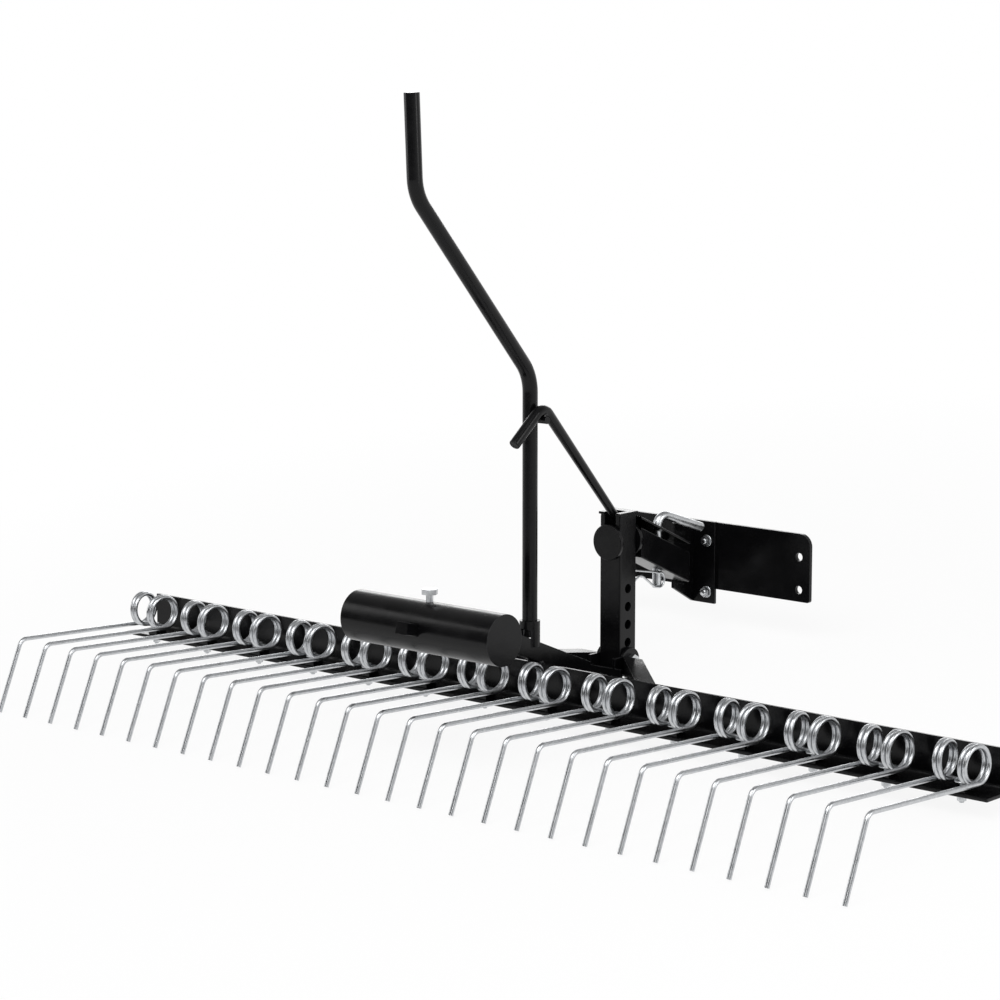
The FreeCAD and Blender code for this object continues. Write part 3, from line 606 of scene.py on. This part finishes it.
right_angle = arc_between(Vector((1, 0, 0)), Vector((0, 0, 0)), Vector((0, 1, 0)), 0.5, 4)
print("a right angle rounded in", len(right_angle) - 1, "steps:",
      [tuple(round(x, 2) for x in point.xy) for point in right_angle])

# %% Centre line of half a tine
def bight_points(inner, foot):
    """From the front of the bight, round the bolt and up to the coil's foot."""
    points = []
    for step in range(BIGHT_STEPS):
        share = step / BIGHT_STEPS
        angle = math.radians(90 * share)
        climb = share * share * (3 - 2 * share)     # starts and ends level
        points.append(Vector((inner * math.sin(angle),
                              COIL_CENTRE.y + BIGHT_REACH * math.cos(angle),
                              BIGHT_HEIGHT + (foot - BIGHT_HEIGHT) * climb)))
    return points


def coil_points(inner):
    """Up the back and down the front of the coil, one pitch outwards each turn."""
    points = []
    steps = TURN_STEPS * COIL_TURNS
    for step in range(steps + 1):
        turns = COIL_TURNS * step / steps
        ahead = -COIL_RADIUS * math.sin(math.tau * turns)
        points.append(Vector((inner + COIL_PITCH * turns + COIL_SPLAY * ahead,
                              COIL_CENTRE.y + ahead,
                              COIL_CENTRE.z - COIL_RADIUS * math.cos(math.tau * turns))))
    return points


def half_tine():
    """From the front of the bight to the tip, on the +X side."""
    inner = ARM_OFFSET - COIL_PITCH * COIL_TURNS
    path = bight_points(inner, COIL_CENTRE.z - COIL_RADIUS) + coil_points(inner)
    return path + arc_between(path[-1], ELBOW, TIP, ELBOW_RADIUS, ELBOW_STEPS) + [TIP]


print("half a tine has", len(half_tine()), "points")

# %% Sweep the wire of a whole tine
def even_runs(path):
    """Cut the long straight runs, so the wire's coordinates stay even."""
    dense = [path[0]]
    for point in path[1:]:
        cuts = max(1, round((point - dense[-1]).length / ARM_CUT))
        start = dense[-1]
        dense += [start.lerp(point, cut / cuts) for cut in range(1, cuts + 1)]
    return dense


def path_length(path):
    return sum((end - start).length for start, end in zip(path, path[1:]))


right_half = even_runs(half_tine())
left_half = [Vector((-point.x, point.y, point.z)) for point in reversed(right_half)]
tine_path = left_half[:-1] + right_half
print("one tine takes", round(path_length(tine_path), 3), "m of wire")

# %% Place the tines along the bar
tine_nodes = sorted(name for name in frame["nodes"] if name.startswith("tine_"))
tine_centres = []
for node in tine_nodes:
    low, high = working_box(node)
    centre = (low.x + high.x) / 2
    tine_centres.append(centre)
    bm = bmesh.new()
    sweep(bm, tine_path, WIRE_RADIUS, WIRE_SIDES)
    bmesh.ops.translate(bm, vec=(centre, 0, 0), verts=bm.verts)
    piece = finish_piece(node + "_wire", bm, ZINC_WIRE, "rake")
    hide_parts(node)
print("tines:", len(tine_nodes), "of", len(piece.data.vertices), "vertices each")

# %% [markdown]
# ## Hardware
#
# Every fastener is the same few forms: a hexagon with its corners turned off, a flat washer,
# a shank with a domed end.  They could be one mesh copied about, but bolts differ in every
# size.  One helper draws each form on an axis instead, so a bolt is a short list.  A thread
# shows as fine rings, because at this size the eye can't tell a helix from rings.

# %% Forms spun on an axis
ROUND_SIDES, SHANK_SIDES = 28, 20
WASHER_EDGE = 0.25                      # rounded share of a washer's thickness


def on_axis(origin, axis):
    """Matrix that stands Z along an axis at an origin."""
    return Matrix.Translation(origin) @ Vector(axis).to_track_quat("Z", "Y").to_matrix().to_4x4()


def spun(bm, place, profile, sides, ring=False):
    """Form spun from (radius, height) points; a ring's profile closes on itself."""
    verts = [bm.verts.new(place @ Vector((radius, 0, height))) for radius, height in profile]
    ends = verts[1:] + (verts[:1] if ring else [])
    edges = [bm.edges.new(pair) for pair in zip(verts, ends)]
    bmesh.ops.spin(bm, geom=verts + edges, cent=place.translation, axis=place.col[2].xyz,
                   angle=math.tau, steps=sides, use_merge=True, use_duplicate=False)
    bmesh.ops.remove_doubles(bm, verts=bm.verts, dist=MERGE)
    bmesh.ops.recalc_face_normals(bm, faces=bm.faces)


def washer(bm, place, hole, rim, low, thick):
    """Flat ring whose outer edges are turned off."""
    edge = thick * WASHER_EDGE
    spun(bm, place, [(hole, low), (rim - edge, low), (rim, low + edge), (rim, low + thick - edge),
                     (rim - edge, low + thick), (hole, low + thick)], ROUND_SIDES, ring=True)


print("round forms have", ROUND_SIDES, "sides, and shanks", SHANK_SIDES)

# %% Hexagon and threaded end
HEX_CHAMFER = 0.07                      # of the width across flats
LEVEL = 1e-6                            # an edge that rises less lies in an end face
THREAD_PITCH, THREAD_ROOT = 0.001, 0.9
DOME = ((1.0, -0.1), (0.8, 0.4), (0.0, 0.6))    # shares of the radius and of the pitch


def hexagon(bm, place, flats, low, high):
    """Hexagonal head or nut between two heights, its corners chamfered at both ends."""
    corner = flats / math.sqrt(3)
    made = bmesh.ops.create_cone(bm, cap_ends=True, segments=6, radius1=corner, radius2=corner,
                                 depth=high - low,
                                 matrix=place @ Matrix.Translation((0, 0, (low + high) / 2)))
    ends = dict.fromkeys(edge for vert in made["verts"] for edge in vert.link_edges
                         if abs((edge.verts[0].co - edge.verts[1].co).dot(place.col[2].xyz)) < LEVEL)
    bmesh.ops.bevel(bm, geom=list(ends), offset=flats * HEX_CHAMFER, segments=2, profile=0.5,
                    affect="EDGES", clamp_overlap=True, material=-1)


def threaded_end(bm, place, radius, low, high):
    """Shank whose thread shows as fine rings, with a domed end at the high side."""
    rings = max(1, round(abs(high - low) / THREAD_PITCH))
    step = (high - low) / rings
    profile = [(0, low)]
    for ring in range(rings):
        profile += [(radius, low + step * ring), (radius * THREAD_ROOT, low + step * (ring + 0.5))]
    profile += [(radius * share, high + step * rise) for share, rise in DOME]
    spun(bm, place, profile, SHANK_SIDES)


print("a hexagon of 10 mm across flats is", round(20 / math.sqrt(3), 2), "mm across corners")

# %% [markdown]
# ## Tine clamps
#
# A bolt through the bar's flange clamps each tine by its bight.  A black spacer under it holds
# the bight clear of the flange, and a nut closes it from below.  The spacer is part of the
# welded frame, so it is painted, and the bolt is zinc.

# %% Spacer and clamp bolt of each tine
BAR_WALL = 0.0048
SPACER_TOP = BIGHT_HEIGHT - WIRE_RADIUS
SPACER_WIDTH, SPACER_DEPTH, SPACER_BACK, SPACER_EDGE = 0.018, 0.020, 0.038, 0.0008
BOLT_BACK, BOLT_RADIUS, BOLT_FLATS = 0.040, 0.0030, 0.010
BOLT_HEAD, NUT_HEIGHT, BOLT_END = 0.0040, 0.0068, 0.0084
WASHER_HOLE, WASHER_RIM, WASHER_THICK = 0.0033, 0.0095, 0.0016


def tine_spacer(centre):
    bm = bmesh.new()
    bmesh.ops.create_cube(bm, size=1.0, matrix=Matrix.Translation(
        (centre, -SPACER_BACK, SPACER_TOP / 2))
        @ Matrix.Diagonal((SPACER_WIDTH, SPACER_DEPTH, SPACER_TOP, 1)))
    bmesh.ops.bevel(bm, geom=bm.edges[:], offset=SPACER_EDGE, segments=2, profile=0.5,
                    affect="EDGES", clamp_overlap=True, material=-1)
    return bm


def tine_bolt(centre):
    bm = bmesh.new()
    place = on_axis((centre, -BOLT_BACK, 0), (0, 0, 1))
    top = BIGHT_HEIGHT + WIRE_RADIUS
    washer(bm, place, WASHER_HOLE, WASHER_RIM, top, WASHER_THICK)
    hexagon(bm, place, BOLT_FLATS, top + WASHER_THICK, top + WASHER_THICK + BOLT_HEAD)
    threaded_end(bm, place, BOLT_RADIUS, SPACER_TOP, top + WASHER_THICK / 2)
    hexagon(bm, place, BOLT_FLATS, -BAR_WALL - NUT_HEIGHT, -BAR_WALL)
    threaded_end(bm, on_axis((centre, -BOLT_BACK, -BAR_WALL), (0, 0, -1)), BOLT_RADIUS, 0.0,
                 BOLT_END)
    return bm


for index, centre in enumerate(tine_centres, start=1):
    finish_piece(f"tine_spacer_{index:02d}", tine_spacer(centre), BLACK, "rake")
    finish_piece(f"tine_bolt_{index:02d}", tine_bolt(centre), ZINC_BOLT, "rake")
print("tine clamps:", len(tine_centres))

# %% [markdown]
# ## Hardware that the frame already carries
#
# The hinge bolt, the set-screw and the hitch pin have their real shape in the CAD frame, and
# only lack softened edges and a finish.  The rod's cross pin sits inside the mast and is
# painted with it, so its own node stays and takes the black.

# %% Plated copies, and the painted cross pin
PLATED_RADIUS = {"hinge_bolt": 0.0008, "weight_screw": 0.0007, "hitch_pin": 0.0009}
for node, radius in PLATED_RADIUS.items():
    piece = finish_piece(node + "_plated", bevelled_copy(node, radius), ZINC_BOLT,
                         body_of[node], parked=True)
    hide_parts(node)
frame["nodes"]["rod_pin"].data.materials.clear()
frame["nodes"]["rod_pin"].data.materials.append(BLACK)
print("plated copies:", ", ".join(PLATED_RADIUS))

# %% [markdown]
# ## Bolts of the hitch bracket
#
# Two bolts hold the bracket's flange to the plate, one near each end of it.  Their heads face
# the rake, where a spanner reaches, and the plate's front has to lie flat on the tractor, so
# their ends stop inside the plate.

# %% Bracket bolts
BRACKET_BOLT_SIDE = 0.0105
FROM_TOP, FROM_FOOT = 0.028, 0.0165     # from the flange's ends to the bolts
flange_low, flange_high = working_box("bracket_right")
for level, height in (("upper", flange_high.z - FROM_TOP), ("lower", flange_low.z + FROM_FOOT)):
    bm = bmesh.new()
    place = on_axis((BRACKET_BOLT_SIDE, flange_low.y, height), (0, -1, 0))
    washer(bm, place, hole=0.0042, rim=0.0085, low=0, thick=WASHER_THICK)
    hexagon(bm, place, flats=0.013, low=WASHER_THICK, high=0.0071)
    threaded_end(bm, place, radius=0.0039, low=0.0, high=0.0100)
    finish_piece(f"bracket_bolt_{level}", bm, ZINC_BOLT, "hitch")
print("bracket bolts at", [round(x, 4) for x in (BRACKET_BOLT_SIDE, flange_low.y)])

# %% [markdown]
# ## Spring clip of the hitch pin
#
# A hairpin clip keeps the pin down.  Its bow springs round the pin's foot, and its two legs
# reach back towards the mast: the upper one straight, the lower one waved so that it grips.
# It is the same sweep as the tines, along a flat path beside the pin.

# %% Hairpin clip
CLIP_RADIUS, CLIP_SIDES = 0.0016, 10
CLIP_SIDE = 0.0081                      # of the clip's plane, beside the pin
BOW_MIDDLE, BOW_RADIUS = Vector((CLIP_SIDE, 0.2620, 0.1285)), 0.0105
BOW_START, BOW_TURN, BOW_STEPS = 100, 205, 16       # degrees, and steps round the bow
STRAIGHT_LEG = ((0.2030, 0.1505), (0.2450, 0.1425))
WAVED_LEG = ((0.2500, 0.1205), (0.2440, 0.1245), (0.2365, 0.1300), (0.2290, 0.1350),
             (0.2240, 0.1385), (0.2195, 0.1400), (0.2150, 0.1398), (0.2090, 0.1370),
             (0.2030, 0.1330))


def clip_path():
    """The clip's line in its own plane, beside the pin, from the straight leg to the waved one."""
    path = [Vector((CLIP_SIDE, *point)) for point in STRAIGHT_LEG]
    for step in range(BOW_STEPS + 1):
        turn = math.radians(BOW_START - BOW_TURN * step / BOW_STEPS)
        path.append(BOW_MIDDLE + BOW_RADIUS * Vector((0, math.cos(turn), math.sin(turn))))
    return path + [Vector((CLIP_SIDE, *point)) for point in WAVED_LEG]


bm = bmesh.new()
sweep(bm, clip_path(), CLIP_RADIUS, CLIP_SIDES)
finish_piece("pin_clip", bm, ZINC_BOLT, "hitch")
print("the clip takes", round(path_length(clip_path()) * 1000), "mm of wire")

# %% [markdown]
# ## Welds
#
# The frame is welded before it is coated, so its beads are black too.  A bead is a round
# section laid in the corner, its size rippling with each stroke of the torch.  The beads lie
# where the braces and the strut meet the bar, on the sides that a welder reaches from above.

# %% A weld bead
BEAD_RADIUS, BEAD_SIDES = 0.0024, 10
STROKE = 0.0022                         # travel of the torch in one stroke
RIPPLE, UNEVEN, UNEVEN_SCALE = 0.13, 0.12, 300


def weld(name, body, start, end):
    """Bead from one point to another in the working frame."""
    start, end = Vector(start), Vector(end)
    strokes = max(3, round((end - start).length / STROKE))
    path = [start.lerp(end, index / (2 * strokes)) for index in range(2 * strokes + 1)]

    def bead_size(share, place):
        stroke = 1.0 + RIPPLE * math.cos(share * strokes * math.tau)
        return stroke + UNEVEN * noise.noise(place * UNEVEN_SCALE)

    bm = bmesh.new()
    sweep(bm, path, BEAD_RADIUS, BEAD_SIDES, swell=bead_size)
    finish_piece(name, bm, BLACK, body)


print("a bead is", BEAD_RADIUS * 2000, "mm thick, with a ripple every", STROKE * 1000, "mm")

# %% Beads along the bar
BRACE_BEAD, STRUT_SIDE = 0.034, 0.0100
STRUT_BEAD_BACK, STRUT_BEAD_RISE = -0.0005, 0.0008
brace_high = working_box("brace_right")[1]
strut_height = bar_high.z + STRUT_BEAD_RISE
for side, sign in (("left", -1), ("right", 1)):
    weld(f"weld_brace_{side}_top", "rake",
         (sign * (brace_high.x - BRACE_BEAD), BAR_WALL, brace_high.z),
         (sign * brace_high.x, BAR_WALL, brace_high.z))
    weld(f"weld_strut_{side}", "rake", (sign * STRUT_SIDE, STRUT_BEAD_BACK, strut_height),
         (sign * STRUT_SIDE, BAR_WALL, strut_height))
print("beads: a brace and a strut bead on each side, at heights of",
      [round(height, 4) for height in (brace_high.z, strut_height)])

# %% [markdown]
# ## Floor
#
# The floor is white to the camera and to glossy reflections, and matt grey to every other
# ray.  Near the rake a tenth of the grey shows through, so the rake stands on a soft shadow,
# and further out the floor fades into the white behind it with no horizon.

# %% Pale floor
FLOOR_RADIUS, FLOOR_SIDES, FLOOR_GAP = 30.0, 64, 0.0005
FADE_START, FADE_END = 0.7, 1.6         # metres from the middle
WHITE_NEAR = 0.90                       # share of white inside the fade
FLOOR_GREY, FLOOR_ROUGHNESS, WHITE = (0.86, 0.86, 0.86, 1), 0.9, (1, 1, 1, 1)


def floor_material():
    material, tree, shader = new_material("studio_floor")
    shader.inputs["Base Color"].default_value = FLOOR_GREY
    shader.inputs["Roughness"].default_value = FLOOR_ROUGHNESS
    white = tree.nodes.new("ShaderNodeEmission")
    white.inputs["Color"].default_value = WHITE
    path = tree.nodes.new("ShaderNodeLightPath")
    seen = math_node(tree, "MAXIMUM", path.outputs["Is Camera Ray"], path.outputs["Is Glossy Ray"])
    away = tree.nodes.new("ShaderNodeVectorMath")
    away.operation = "LENGTH"
    tree.links.new(object_coordinates(tree), away.inputs[0])
    white_share = spread(tree, away.outputs["Value"], FADE_START, FADE_END, WHITE_NEAR, 1.0)
    share = math_node(tree, "MULTIPLY", seen, white_share)
    mixer = tree.nodes.new("ShaderNodeMixShader")
    for output, socket in zip((share, shader.outputs[0], white.outputs[0]), mixer.inputs):
        tree.links.new(output, socket)
    tree.links.new(mixer.outputs[0], tree.nodes["Material Output"].inputs["Surface"])
    return material


bm = bmesh.new()
bmesh.ops.create_circle(bm, cap_ends=True, segments=FLOOR_SIDES, radius=FLOOR_RADIUS,
                        matrix=Matrix.Translation((0, 0, cad_box[0][2] - FLOOR_GAP)))
floor_mesh = bpy.data.meshes.new("floor")
bm.to_mesh(floor_mesh)
bm.free()
floor_mesh.materials.append(floor_material())
floor = bpy.data.objects.new("floor", floor_mesh)
bpy.context.scene.collection.objects.link(floor)
print("the floor lies", FLOOR_GAP * 1000, "mm under the tine tips")

# %% [markdown]
# ## Room
#
# Black gloss is drawn by what it mirrors.  The room is dim behind the camera and pale in
# front of the rake, so the faces that look back stay dark and their edges catch the light.
# Overhead it dims again, or every upper face would turn grey.  To the camera it is white.

# %% World
BEHIND, AHEAD = -0.45, 0.30             # forward part of a ray, where the room changes
BEHIND_DIM, AHEAD_PALE = 0.10, 0.75
LOW, HIGH, OVERHEAD_DIM = 0.22, 0.60, 0.45
world = bpy.data.worlds.new("studio")
bpy.context.scene.world = world
world.use_nodes = True
tree = world.node_tree
background = tree.nodes["Background"]
parts = tree.nodes.new("ShaderNodeSeparateXYZ")
tree.links.new(tree.nodes.new("ShaderNodeTexCoord").outputs["Generated"], parts.inputs[0])
room = spread(tree, parts.outputs["Y"], BEHIND, AHEAD, BEHIND_DIM, AHEAD_PALE)
overhead = spread(tree, parts.outputs["Z"], LOW, HIGH, 1.0, OVERHEAD_DIM)
room = math_node(tree, "MULTIPLY", room, overhead)
seen = tree.nodes.new("ShaderNodeLightPath").outputs["Is Camera Ray"]
tree.links.new(math_node(tree, "MAXIMUM", room, seen), background.inputs["Strength"])
background.inputs["Color"].default_value = WHITE
print("room light from", BEHIND_DIM, "behind the camera to", AHEAD_PALE, "ahead")

# %% [markdown]
# ## Lamps
#
# Five large panels stand round the rake.  Each one is there for the faces that mirror it:
# the key for the tops, the side panels for the tube walls, the rim for the far edges, and
# the front one for the tines, which are metal and would be dark without it.

# %% Soft panels
MIDDLE = (0, 0, 0.3)
TINES = (0, -0.2, 0)


def panel(name, place, aim, width, height, watts):
    """Rectangular lamp at a place, facing its aim, that the camera doesn't see."""
    lamp = bpy.data.lights.new(name, "AREA")
    lamp.shape = "RECTANGLE"
    lamp.size, lamp.size_y = width, height
    lamp.energy = watts
    rig = bpy.data.objects.new(name, lamp)
    rig.visible_camera = False
    bpy.context.scene.collection.objects.link(rig)
    facing = (Vector(aim) - Vector(place)).to_track_quat("-Z", "Y").to_matrix().to_4x4()
    rig.matrix_world = Matrix.Translation(place) @ facing


panel("key_overhead", (0.4, -1.2, 3.0), MIDDLE, width=3.2, height=1.6, watts=60)
panel("side_right", (3.2, 0.8, 1.4), MIDDLE, width=1.0, height=2.2, watts=26)
panel("side_left", (-2.8, -1.6, 1.6), MIDDLE, width=1.4, height=2.2, watts=20)
panel("rim_behind", (-2.6, 3.4, 0.9), MIDDLE, width=3.2, height=1.2, watts=36)
panel("front_right", (2.2, -1.7, 2.2), TINES, width=2.8, height=1.5, watts=30)
print("panels:", [lamp.name for lamp in bpy.data.lights])

# %% [markdown]
# ## Camera
#
# The rake is seen from behind its right end and a little above, as if it were level behind a
# tractor.  It is parked nose down here, so the camera stands in the working frame and tilts
# with the rake.  A long lens from over four metres keeps the perspective mild.

# %% Camera
CAMERA_PLACE = Vector((2.6782, -3.1410, 0.9426))
CAMERA_AIM = Vector((-0.0472, -0.0170, 0.2706))
LENS, SENSOR = 112.21, 36.0             # millimetres
camera = bpy.data.objects.new("camera", bpy.data.cameras.new("camera"))
bpy.context.scene.collection.objects.link(camera)
facing = (CAMERA_AIM - CAMERA_PLACE).to_track_quat("-Z", "Y").to_matrix().to_4x4()
camera.matrix_world = PARK @ Matrix.Translation(CAMERA_PLACE) @ facing
camera.data.sensor_width = SENSOR
camera.data.lens = LENS
camera.data.clip_end = 100.0
bpy.context.scene.camera = camera
bpy.context.scene.view_settings.view_transform = "Standard"
print("camera", round((CAMERA_AIM - CAMERA_PLACE).length, 2), "m from the rake")
